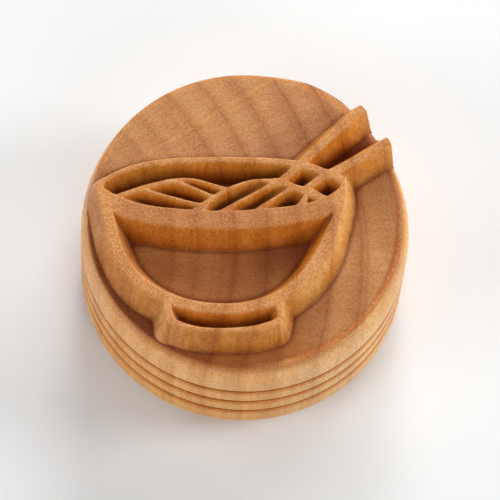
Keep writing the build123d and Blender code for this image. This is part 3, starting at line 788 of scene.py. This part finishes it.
def wood(name, body, shift):
    """body: the turned block; otherwise the raised lines. shift moves the fine speckle from piece to piece a little."""
    t = Tree(name)
    coord = t.nt.nodes.new("ShaderNodeTexCoord").outputs["Object"]
    p = t.vec("SCALE", coord, scale=1000.0)
    x, y, z = t.split(p)
    normal = t.nt.nodes.new("ShaderNodeNewGeometry").outputs["Normal"]
    nz = t.split(normal)[2]
    steep = t.remap(nz, 0.88, 0.35, 0.0, 1.0, smooth=True)

    # --- growth rings: cylinders about the pith, slightly wavy ---
    lo = t.join(x, y, t.math("MULTIPLY", z, 0.25))
    wob = t.math("SUBTRACT", t.noise(lo, 0.11, 1.0), 0.5)
    wob2 = t.math("SUBTRACT", t.noise(lo, 0.55, 2.0), 0.5)
    r = t.vec("LENGTH", t.join(t.math("SUBTRACT", x, PITH[0]), t.math("SUBTRACT", y, PITH[1]), 0.0))
    r = t.math("ADD", r, t.math("MULTIPLY", wob, 0.5))
    r = t.math("ADD", r, t.math("MULTIPLY", wob2, 0.30))
    r = t.math("ADD", r, t.math("MULTIPLY", t.math("SUBTRACT", z, ZG), 0.03))
    r01 = t.remap(r, RINGS[0], RINGS[-1])
    span = RINGS[-1] - RINGS[0]
    count = len(RINGS) - 1
    index = t.ramp(r01, [((q - RINGS[0]) / span, k / count) for k, q in enumerate(RINGS)])
    phase = t.math("FRACT", t.math("MULTIPLY", index, count * 0.99999))
    late = t.ramp(phase, [(0.0, 0.90), (0.035, 0.62), (0.08, 0.34), (0.15, 0.12), (0.24, 0.0), (0.50, 0.0), (0.68, 0.16), (0.82, 0.32), (0.91, 0.52), (0.965, 1.0), (1.0, 0.90)])
    early = t.ramp(phase, [(0.0, 0.0), (0.12, 0.1), (0.24, 0.85), (0.36, 1.0), (0.52, 0.6), (0.68, 0.0), (1.0, 0.0)])
    force = t.ramp(r01, [((q - RINGS[0]) / span, f) for q, f in zip(RINGS, FORCE)])
    late = t.math("MULTIPLY", late, force)
    for q, f in FINE:
        d = t.math("ABSOLUTE", t.math("SUBTRACT", r, q))
        late = t.math("ADD", late, t.remap(d, 0.0, 0.42, f * 0.8, 0.0, smooth=True))
    patch = t.remap(t.noise(lo, 0.28, 3.0, 0.6), 0.30, 0.70, 0.55, 1.25)
    late = t.math("MULTIPLY", late, patch, clamp=True)

    # --- end-grain speckle and pores; along the grain they draw out into streaks ---
    fine = t.join(x, y, t.math("MULTIPLY", z, 0.06))
    fine = t.vec("ADD", fine, (shift, shift * 0.7, 0.0))
    speck = t.math("SUBTRACT", t.noise(fine, 3.6, 3.0, 0.75), 0.5)
    grit = t.math("SUBTRACT", t.noise(fine, 7.6, 1.0, 0.6), 0.5)
    pore = t.remap(t.voronoi(fine, 3.4), 0.05, 0.20, 1.0, 0.0, smooth=True)
    poresize = t.remap(t.noise(fine, 0.9, 2.0), 0.42, 0.62, 0.0, 1.0)
    pore = t.math("MULTIPLY", pore, poresize)
    cloud = t.math("SUBTRACT", t.noise(lo, 0.16, 3.0, 0.55), 0.5)
    blush = t.math("SUBTRACT", t.noise(lo, 0.42, 2.0, 0.5), 0.5)
    # wood rays: short dashes that point at the pith
    ang = t.math("ARCTAN2", t.math("SUBTRACT", y, PITH[1]), t.math("SUBTRACT", x, PITH[0]))
    ray = t.noise(t.join(t.math("MULTIPLY", ang, 62.0), t.math("MULTIPLY", r, 0.28), t.math("MULTIPLY", z, 0.05)), 1.5, 2.0, 0.6)
    ray = t.math("SUBTRACT", ray, 0.5)
    streak = t.math("SUBTRACT", t.noise(t.join(x, y, t.math("MULTIPLY", z, 0.035)), 1.35, 3.0, 0.6), 0.5)
    fibre = t.math("SUBTRACT", t.noise(t.join(x, y, t.math("MULTIPLY", z, 0.45)), 6.2, 2.0, 0.6), 0.5)

    relief = t.attr("relief")
    cavity = t.attr("cavity")

    nx, ny, _ = t.split(normal)
    rr = t.vec("LENGTH", t.join(x, y, 0.0))

    def toward(azimuth, a, b):
        """1 on the side of the block that faces this azimuth, 0 away from it."""
        c, s_ = math.cos(math.radians(azimuth)), math.sin(math.radians(azimuth))
        q = t.math("DIVIDE", t.math("ADD", t.math("MULTIPLY", x, c), t.math("MULTIPLY", y, s_)), t.math("MAXIMUM", rr, 1.0))
        return t.remap(q, a, b, 0.0, 1.0, smooth=True)

    # painted shade: the ground is painted darker inside the bowl, in front of it and in the left trench, where the
    # walls shade it, and a little on the right and upper right
    outer = t.remap(rr, 12.5, 14.5, 0.0, 1.0, smooth=True)
    trench_shade = t.math("MULTIPLY", t.math("MULTIPLY", toward(207, 0.50, 0.86), outer), t.remap(y, 1.0, -3.0, 0.3, 1.0, smooth=True))
    front = t.math("MULTIPLY", toward(265, 0.78, 0.95), outer)
    low_right_shade = t.math("MULTIPLY", toward(304, 0.80, 0.96), outer)
    ground = t.mix(t.math("MULTIPLY", low_right_shade, 0.8), rgb(194, 137, 85), rgb(178, 118, 66))
    ground = t.mix(t.math("MULTIPLY", toward(5, 0.90, 0.98), 0.8), ground, rgb(184, 123, 69))
    ground = t.mix(t.math("MULTIPLY", toward(62, 0.93, 0.99), 0.45), ground, rgb(178, 119, 72))
    ground = t.mix(front, ground, rgb(166, 98, 42))
    ground = t.mix(trench_shade, ground, rgb(136, 72, 32))
    bowl_shade = t.vec("LENGTH", t.join(t.math("DIVIDE", t.math("ADD", x, 3.0), 13.2), t.math("DIVIDE", t.math("MINIMUM", y, 0.0), 12.2), 0.0))
    bowl_shade = t.math("MULTIPLY", t.remap(bowl_shade, 0.93, 1.03, 1.0, 0.0, smooth=True), t.remap(y, -0.5, -2.0, 0.0, 1.0, smooth=True))
    ground = t.mix(bowl_shade, ground, rgb(178, 114, 57))
    # painted shade: darkest in the upper right of the bowl
    corner = t.math("MULTIPLY", t.remap(x, -5.0, 5.0, 0.0, 0.9, smooth=True), t.remap(y, -9.0, -4.0, 0.0, 1.0, smooth=True))
    ground = t.mix(t.math("MULTIPLY", corner, bowl_shade), ground, rgb(155, 84, 36))
    # painted shade: the slot between the two sticks is painted dark along its whole length
    slot_shade = t.math("MULTIPLY", toward(34.5, 0.9925, 0.9975), t.remap(rr, 10.5, 12.0, 0.0, 1.0, smooth=True))
    ground = t.mix(t.math("MULTIPLY", slot_shade, t.remap(rr, 18.9, 17.6, 0.45, 0.95)), ground, rgb(128, 62, 26))
    # one broad ray shows as a straight paler line across the back of the ground
    px, py = t.math("SUBTRACT", x, PITH[0]), t.math("SUBTRACT", y, PITH[1])
    off = t.math("SUBTRACT", t.math("MULTIPLY", py, math.cos(math.radians(33.45))), t.math("MULTIPLY", px, math.sin(math.radians(33.45))))
    off = t.math("ADD", off, t.math("MULTIPLY", speck, 0.35))
    stripe = t.math("MULTIPLY", t.remap(t.math("ABSOLUTE", off), 0.03, 0.30, 0.42, 0.0, smooth=True), t.remap(y, 7.5, 9.0, 0.0, 1.0, smooth=True))
    ground = t.mix(stripe, ground, rgb(222, 151, 86))
    # painted shade: a dark halo where the ground meets a wall, and in the pockets between walls
    wall_foot_shade = t.remap(t.math("ADD", relief, t.math("MULTIPLY", speck, 0.3)), RUN + 0.05, RUN + 0.65, 0.30, 0.0, smooth=True)
    wall_foot_shade = t.math("MULTIPLY", wall_foot_shade, t.remap(y, 8.0, 5.0, 0.0, 1.0, smooth=True))
    if body:
        side = t.mix(t.remap(z, 15.5, 8.5, 0.0, 1.0, smooth=True), rgb(230, 169, 104), rgb(227, 162, 88))
        onside = t.remap(nz, 0.93, 0.62, 0.0, 1.0, smooth=True)
        level = t.math("SUBTRACT", 1.0, onside)
        high = t.remap(z, 17.0, 18.9, 0.0, 1.0, smooth=True)
        rough_rr = t.math("ADD", rr, t.math("MULTIPLY", speck, 0.9))
        # the shoulder under the carved edge is toasted a little by the cutter
        side = t.mix(t.math("MULTIPLY", toward(318, 0.72, 0.94), 0.9), side, rgb(226, 174, 112))
        shoulder = t.mix(t.math("MULTIPLY", high, t.math("SUBTRACT", 1.0, t.math("MULTIPLY", toward(312, 0.80, 0.95), 0.6))), side, rgb(214, 148, 82))
        base = t.mix(onside, ground, shoulder)
        toast = t.math("MULTIPLY", t.remap(t.math("ADD", z, t.math("MULTIPLY", t.math("ADD", speck, streak), 0.9)), 17.7, 19.0, 0.0, 0.80, smooth=True), toward(262, 0.55, 0.90))
        base = t.mix(t.math("MULTIPLY", toast, onside), base, rgb(186, 114, 54))
        rim = t.math("MULTIPLY", t.remap(t.math("ADD", z, speck), 18.0, 18.9, 0.0, 0.65, smooth=True), toward(8, 0.62, 0.90))
        base = t.mix(t.math("MULTIPLY", rim, onside), base, rgb(206, 134, 70))
        # painted highlight: fuzzy warm paler band along the ground's edge, at the back and on the right, where the
        # light comes from
        lit_edge_sides = t.math("MAXIMUM", toward(100, 0.30, 0.55), toward(312, 0.72, 0.90))
        edge_highlight = t.math("MULTIPLY", t.remap(rough_rr, 18.1, 18.5, 0.0, 0.85, smooth=True), lit_edge_sides)
        base = t.mix(t.math("MULTIPLY", edge_highlight, level), base, t.mix(toward(318, 0.80, 0.93), rgb(208, 141, 82), rgb(200, 124, 60)))
        # a darker line just inside the ground's edge on the right, weaker on the lower right
        dark_edge_line = t.remap(t.math("ABSOLUTE", t.math("SUBTRACT", t.math("ADD", rough_rr, t.math("MULTIPLY", wob2, 0.5)), 18.15)), 0.0, 0.42, 0.80, 0.0, smooth=True)
        dark_edge_line = t.math("MULTIPLY", t.math("MULTIPLY", dark_edge_line, t.math("MAXIMUM", toward(6, 0.66, 0.90), t.math("MULTIPLY", toward(318, 0.55, 0.85), 0.35))), level)
        base = t.mix(dark_edge_line, base, rgb(162, 84, 36))
        brown = t.math("MULTIPLY", t.remap(rough_rr, 18.35, 18.75, 0.0, 0.60, smooth=True), toward(228, 0.55, 0.85))
        base = t.mix(t.math("MULTIPLY", brown, t.remap(z, 18.7, 19.1, 0.0, 1.0, smooth=True)), base, rgb(166, 88, 30))
        # painted shade: darker at the foot of the walls and in narrow pockets
        base = t.mix(t.math("MULTIPLY", wall_foot_shade, level), base, rgb(126, 64, 24))
        pocket_shade = t.math("MULTIPLY", t.remap(cavity, 0.1, 1.0, 0.0, 0.92, smooth=True), level)
        base = t.mix(pocket_shade, base, rgb(118, 54, 22))
        # turned grooves: painted shade gives orange-brown lines that fade downwards below each, and a painted highlight
        # makes the lip above each pale
        groove = t.remap(t.attr("groove"), 0.14, 0.44, 0.0, 1.0, smooth=True)
        for zg, _r in GROOVES:
            under_groove_shade = t.remap(t.math("ABSOLUTE", t.math("SUBTRACT", z, zg - GROOVE_HALF)), 0.05, 0.60, 0.60, 0.0, smooth=True)
            base = t.mix(t.math("MULTIPLY", under_groove_shade, onside), base, rgb(198, 116, 42))
            lip_highlight = t.remap(t.math("ABSOLUTE", t.math("SUBTRACT", z, zg + GROOVE_HALF + 0.14)), 0.0, 0.26, 0.45, 0.0, smooth=True)
            base = t.mix(t.math("MULTIPLY", lip_highlight, onside), base, rgb(246, 200, 138))
        # painted shade: the inside of each groove is painted dark orange-brown
        groove = t.math("MULTIPLY", groove, t.remap(t.noise(t.join(x, y, 0.0), 0.5, 2.0), 0.3, 0.7, 0.8, 1.0))
        base = t.mix(t.math("MULTIPLY", groove, t.remap(z, 14.0, 13.6, 0.0, 1.0)), base, rgb(166, 80, 14))
        pocket_shade = t.math("MAXIMUM", pocket_shade, groove)
        upright = onside
    else:
        top, wall = rgb(205, 140, 81), rgb(199, 122, 42)
        # painted light: walls that face the noodles' pockets stay deep in colour; open right-hand walls, lit from the
        # right, are painted paler
        inside = t.math("MULTIPLY", t.remap(y, -2.2, -1.4, 0.0, 1.0), t.remap(y, 6.6, 6.0, 0.0, 1.0))
        inside = t.math("MULTIPLY", inside, t.remap(x, 11.5, 10.5, 0.0, 1.0))
        lit_pale = t.math("MULTIPLY", t.remap(nx, 0.15, 0.85, 0.0, 1.0, smooth=True), t.math("SUBTRACT", 1.0, t.math("MULTIPLY", inside, 0.9)))
        sticks = t.math("MULTIPLY", toward(35, 0.966, 0.976), t.remap(rr, 9.0, 10.5, 0.0, 1.0, smooth=True))
        lit_pale = t.math("MULTIPLY", lit_pale, t.math("SUBTRACT", 1.0, sticks))
        wall = t.mix(lit_pale, wall, t.mix(t.remap(z, 20.2, 22.4, 0.0, 1.0, smooth=True), rgb(222, 157, 80), rgb(226, 164, 92)))
        # painted shade: right-facing walls on the bowl's left are painted less pale than open ones
        facing = t.math("MULTIPLY", t.remap(nx, 0.15, 0.55, 0.0, 0.95, smooth=True), t.math("MULTIPLY", t.remap(x, -2.0, -5.0, 0.0, 1.0, smooth=True), t.remap(y, -1.0, -2.5, 0.0, 1.0, smooth=True)))
        wall = t.mix(facing, wall, rgb(182, 120, 66))
        wall = t.mix(sticks, wall, t.mix(t.remap(rr, 13.0, 17.0, 0.0, 1.0), rgb(206, 128, 44), rgb(216, 141, 56)))
        wall = t.mix(t.math("MULTIPLY", sticks, t.remap(rr, 18.75, 19.0, 0.0, 1.0, smooth=True)), wall, rgb(214, 142, 72))
        # painted light: the upper part of the noodles' walls is painted a lit, glowing orange
        lit_upper_wall = t.mix(t.math("MULTIPLY", t.remap(nx, 0.1, 0.7, 0.0, 1.0, smooth=True), t.remap(x, -6.0, 1.0, 0.0, 1.0, smooth=True)), rgb(206, 130, 46), rgb(212, 129, 42))
        lit_upper_wall = t.mix(t.math("MULTIPLY", t.remap(nx, 0.2, 0.8, 0.0, 1.0, smooth=True), t.remap(x, -3.0, -7.0, 0.0, 1.0, smooth=True)), lit_upper_wall, rgb(180, 112, 44))
        wall = t.mix(t.math("MULTIPLY", inside, t.remap(z, 20.6, 22.2, 0.0, 0.85, smooth=True)), wall, lit_upper_wall)
        # painted shade: pocket walls that face away to the back left are painted dark
        away = t.math("ADD", t.math("MULTIPLY", nx, -0.77), t.math("MULTIPLY", ny, 0.64))
        away = t.math("MULTIPLY", t.remap(away, 0.30, 0.80, 0.0, 1.0, smooth=True), inside)
        wall = t.mix(away, wall, rgb(142, 74, 26))
        # painted light: the outer wall on the left is painted paler towards its foot, and so are left-facing outer
        # walls and the foot ring's left face
        left_low = t.math("MULTIPLY", t.remap(z, 21.8, 20.0, 0.0, 0.75, smooth=True), t.math("MULTIPLY", trench_shade, t.remap(y, -3.0, -6.0, 0.0, 1.0, smooth=True)))
        wall = t.mix(left_low, wall, rgb(189, 117, 54))
        leftwall = t.math("MULTIPLY", t.remap(nx, -0.3, -0.8, 0.0, 0.75, smooth=True), t.math("MULTIPLY", t.remap(rr, 13.5, 15.0, 0.0, 1.0), t.remap(y, -6.0, -3.0, 0.0, 1.0, smooth=True)))
        wall = t.mix(leftwall, wall, rgb(214, 141, 79))
        footleft = t.math("MULTIPLY", t.remap(nx, -0.15, -0.6, 0.0, 0.8, smooth=True), t.math("MULTIPLY", t.remap(y, -11.6, -12.6, 0.0, 1.0, smooth=True), t.remap(x, -2.0, -6.0, 0.0, 1.0)))
        wall = t.mix(footleft, wall, rgb(212, 148, 86))
        # the broad front rim is rubbed darker and pinker than the other tops
        rubbed = t.math("MULTIPLY", t.remap(y, -3.5, -3.0, 0.0, 1.0), t.remap(y, 1.0, 0.1, 0.0, 1.0))
        rubbed = t.math("MULTIPLY", rubbed, t.remap(t.math("ABSOLUTE", t.math("ADD", x, 2.0)), 14.5, 10.5, 0.0, 0.85, smooth=True))
        top = t.mix(rubbed, top, rgb(184, 117, 67))
        base = t.mix(steep, top, wall)
        # the walls get darker and redder towards their foot and in narrow pockets: partly scorch, partly painted shade
        low_wall_scorch_shade = t.math("MULTIPLY", t.remap(z, 21.6, 19.3, 0.0, 0.40, smooth=True), steep)
        low_wall_scorch_shade = t.math("MULTIPLY", low_wall_scorch_shade, t.math("SUBTRACT", 1.0, t.math("MAXIMUM", left_low, leftwall)))
        low_wall_scorch_shade = t.math("MULTIPLY", low_wall_scorch_shade, t.remap(rr, 18.9, 18.5, 0.2, 1.0))
        base = t.mix(low_wall_scorch_shade, base, t.mix(inside, rgb(172, 98, 32), rgb(158, 76, 18)))
        # painted shade: darker along the foot of each wall
        foot = t.math("MULTIPLY", t.remap(relief, RUN - 0.16, RUN + 0.02, 0.0, 0.50, smooth=True), t.remap(rr, 18.8, 18.3, 0.0, 1.0))
        base = t.mix(foot, base, rgb(122, 64, 26))
        # the run-out at the foot of a wall is ground already
        runout = t.math("MULTIPLY", t.remap(nz, 0.40, 0.72, 0.0, 1.0, smooth=True), t.remap(relief, 0.70, 0.95, 0.0, 1.0, smooth=True))
        base = t.mix(runout, base, t.mix(wall_foot_shade, ground, rgb(126, 64, 24)))
        # painted shade: dark in narrow pockets between the walls
        pocket_shade = t.remap(cavity, 0.3, 1.8, 0.0, 0.90, smooth=True)
        base = t.mix(pocket_shade, base, rgb(120, 50, 17))
        # painted highlight: lighter arrises
        arris_highlight = t.remap(t.math("ABSOLUTE", t.math("ADD", relief, t.math("MULTIPLY", speck, 0.16))), 0.02, 0.19, 0.42, 0.0, smooth=True)
        base = t.mix(arris_highlight, base, rgb(226, 156, 84))
        upright = steep
        level = t.math("SUBTRACT", 1.0, upright)

    # --- put the grain over it ---
    force_side = 0.45 if body else 1.0
    dark = (0.755, 0.60, 0.50, 1.0)
    late = t.math("MULTIPLY", late, t.math("SUBTRACT", 1.0, t.math("MULTIPLY", upright, 1.0 - force_side)))
    base = t.mix(late, base, t.mix(1.0, base, dark, "MULTIPLY"))
    grain = t.math("ADD", t.math("MULTIPLY", speck, 1.05 if body else 1.45), t.math("MULTIPLY", grit, 0.95 if body else 1.25))
    grain = t.math("ADD", grain, t.math("MULTIPLY", ray, 0.45))
    grain = t.math("SUBTRACT", grain, t.math("MULTIPLY", pore, 0.22))
    along = t.math("ADD", t.math("MULTIPLY", streak, 0.62 if body else 0.95), t.math("MULTIPLY", fibre, 1.25 if body else 1.4))
    tone = t.math("ADD", t.math("MULTIPLY", grain, level), t.math("MULTIPLY", along, upright))
    broad = t.math("MULTIPLY_ADD", cloud, 0.24, t.math("MULTIPLY_ADD", early, 0.075, -0.025))
    # light grains are paler as well as brighter, dark ones redder
    red = t.math("MULTIPLY_ADD", tone, 0.60, t.math("MULTIPLY_ADD", broad, 0.75, 1.0))
    green = t.math("MULTIPLY_ADD", tone, 1.20, t.math("ADD", t.math("MULTIPLY_ADD", blush, 0.14, 1.0), t.math("MULTIPLY", broad, 1.0)))
    blue = t.math("MULTIPLY_ADD", tone, 2.70, t.math("ADD", t.math("MULTIPLY_ADD", blush, 0.42, 1.0), t.math("MULTIPLY", broad, 1.25)))
    base = t.mix(1.0, base, t.join(red, green, blue), "MULTIPLY")
    t.link(base, t.bsdf.inputs["Base Color"])

    # --- finish: oiled, fairly dull; fibres catch a little light ---
    rough = t.math("ADD", 0.50, t.math("MULTIPLY", speck, 0.25))
    rough = t.math("ADD", rough, t.math("MULTIPLY", upright, -0.04))
    t.link(rough, t.bsdf.inputs["Roughness"])
    t.link(t.math("MULTIPLY", t.math("SUBTRACT", 1.0, pocket_shade), 0.32), t.bsdf.inputs["Specular IOR Level"])
    t.bsdf.inputs["IOR"].default_value = 1.48
    height = t.math("MULTIPLY", speck, t.math("ADD", t.math("MULTIPLY", level, 0.8), 0.2))
    height = t.math("ADD", height, t.math("MULTIPLY", t.math("MULTIPLY", streak, upright), 0.8))
    height = t.math("SUBTRACT", height, t.math("MULTIPLY", pore, 0.35))
    if body:
        lathe = t.noise(t.join(0.0, 0.0, z), 5.5, 3.0, 0.7)
        height = t.math("ADD", height, t.math("MULTIPLY", t.math("MULTIPLY", lathe, upright), 0.6))
    bump = t.nt.nodes.new("ShaderNodeBump")
    bump.inputs["Strength"].default_value = 0.55
    bump.inputs["Distance"].default_value = 0.00006
    t.link(height, bump.inputs["Height"])
    t.link(bump.outputs[0], t.bsdf.inputs["Normal"])
    return t.mat


body_wood = wood("maple_turned_body", True, 0.0)
relief_wood = wood("maple_carved_relief", False, 0.0)
block.data.materials.append(body_wood)
for o in relief:
    o.data.materials.append(relief_wood)

# ---------------------------------------------------------------------------
# floor, light and camera
# ---------------------------------------------------------------------------
def floor():
    mesh = bpy.data.meshes.new("floor")
    s = 3.0
    mesh.from_pydata([(-s, -s, 0), (s, -s, 0), (s, s, 0), (-s, s, 0)], [], [(0, 1, 2, 3)])
    obj = bpy.data.objects.new("floor", mesh)
    bpy.context.scene.collection.objects.link(obj)
    t = Tree("studio_paper")
    coord = t.nt.nodes.new("ShaderNodeTexCoord").outputs["Object"]
    mottling = t.noise(coord, 60.0, 3.0, 0.6)
    t.link(t.mix(mottling, (0.855, 0.872, 0.875, 1), (0.885, 0.902, 0.905, 1)), t.bsdf.inputs["Base Color"])
    t.bsdf.inputs["Roughness"].default_value = 0.7
    t.bsdf.inputs["Specular IOR Level"].default_value = 0.15
    mesh.materials.append(t.mat)
    return obj


floor()


def area(name, position, size, power, color=(1, 1, 1), size_y=None, target=(0, 0, 0.012)):
    data = bpy.data.lights.new(name, "AREA")
    data.energy, data.color = power, color
    data.shape = "RECTANGLE" if size_y else "DISK"
    data.size = size
    if size_y:
        data.size_y = size_y
    obj = bpy.data.objects.new(name, data)
    bpy.context.scene.collection.objects.link(obj)
    obj.location = position
    obj.rotation_mode = "QUATERNION"
    obj.rotation_quaternion = (Vector(target) - Vector(position)).to_track_quat("-Z", "Y")
    return obj


def aim(azimuth, elevation, distance):
    a, e = math.radians(azimuth), math.radians(elevation)
    return (distance * math.cos(a) * math.cos(e), distance * math.sin(a) * math.cos(e), distance * math.sin(e))


# a broad soft source behind, another low on the right, and weak light from all round
area("key_back", aim(84, 29, 0.60), 0.24, 2.05)
area("key_right", aim(2, 26, 0.60), 0.24, 1.72)
area("back_right", aim(58, 33, 0.60), 0.26, 0.95)
area("front_left", aim(208, 27, 0.60), 0.40, 1.40)
area("left_back", aim(152, 25, 0.60), 0.26, 0.42)
area("front", aim(288, 30, 0.60), 0.40, 0.98)
area("overhead", aim(0, 85, 0.60), 0.30, 0.46)

world = bpy.data.worlds.new("studio")
bpy.context.scene.world = world
world.use_nodes = True
bg = world.node_tree.nodes["Background"]
bg.inputs[0].default_value = (0.985, 0.99, 1.0, 1)
bg.inputs[1].default_value = 0.02

view = bpy.context.scene.view_settings
view.view_transform = "Standard"
view.look = "None"
view.exposure = 0.0
view.gamma = 1.0


def camera():
    el, az, dist, roll = math.radians(67.86), math.radians(-4.9), 0.30017, math.radians(-4.89)
    target = Vector((0, 0, ZG * MM))
    back = Vector((math.sin(az) * math.cos(el), -math.cos(az) * math.cos(el), math.sin(el)))
    forward = -back
    right = Vector((math.cos(az), math.sin(az), 0.0))
    up = right.cross(forward)
    c, s = math.cos(roll), math.sin(roll)
    image_right = c * right - s * up
    image_up = s * right + c * up
    focal = 2521.0
    f1 = (focal * forward + 3.87 * image_right - 31.63 * image_up).normalized()
    r1 = (image_right - image_right.dot(f1) * f1).normalized()
    u1 = r1.cross(f1)
    data = bpy.data.cameras.new("camera")
    data.sensor_width = 36.0
    data.lens = 36.0 * focal / 500.0
    data.clip_start, data.clip_end = 0.01, 20.0
    obj = bpy.data.objects.new("camera", data)
    bpy.context.scene.collection.objects.link(obj)
    obj.matrix_world = Matrix((
        (r1.x, u1.x, -f1.x, 0.0),
        (r1.y, u1.y, -f1.y, 0.0),
        (r1.z, u1.z, -f1.z, 0.0),
        (0.0, 0.0, 0.0, 1.0),
    ))
    obj.location = target + dist * back
    bpy.context.scene.camera = obj


camera()
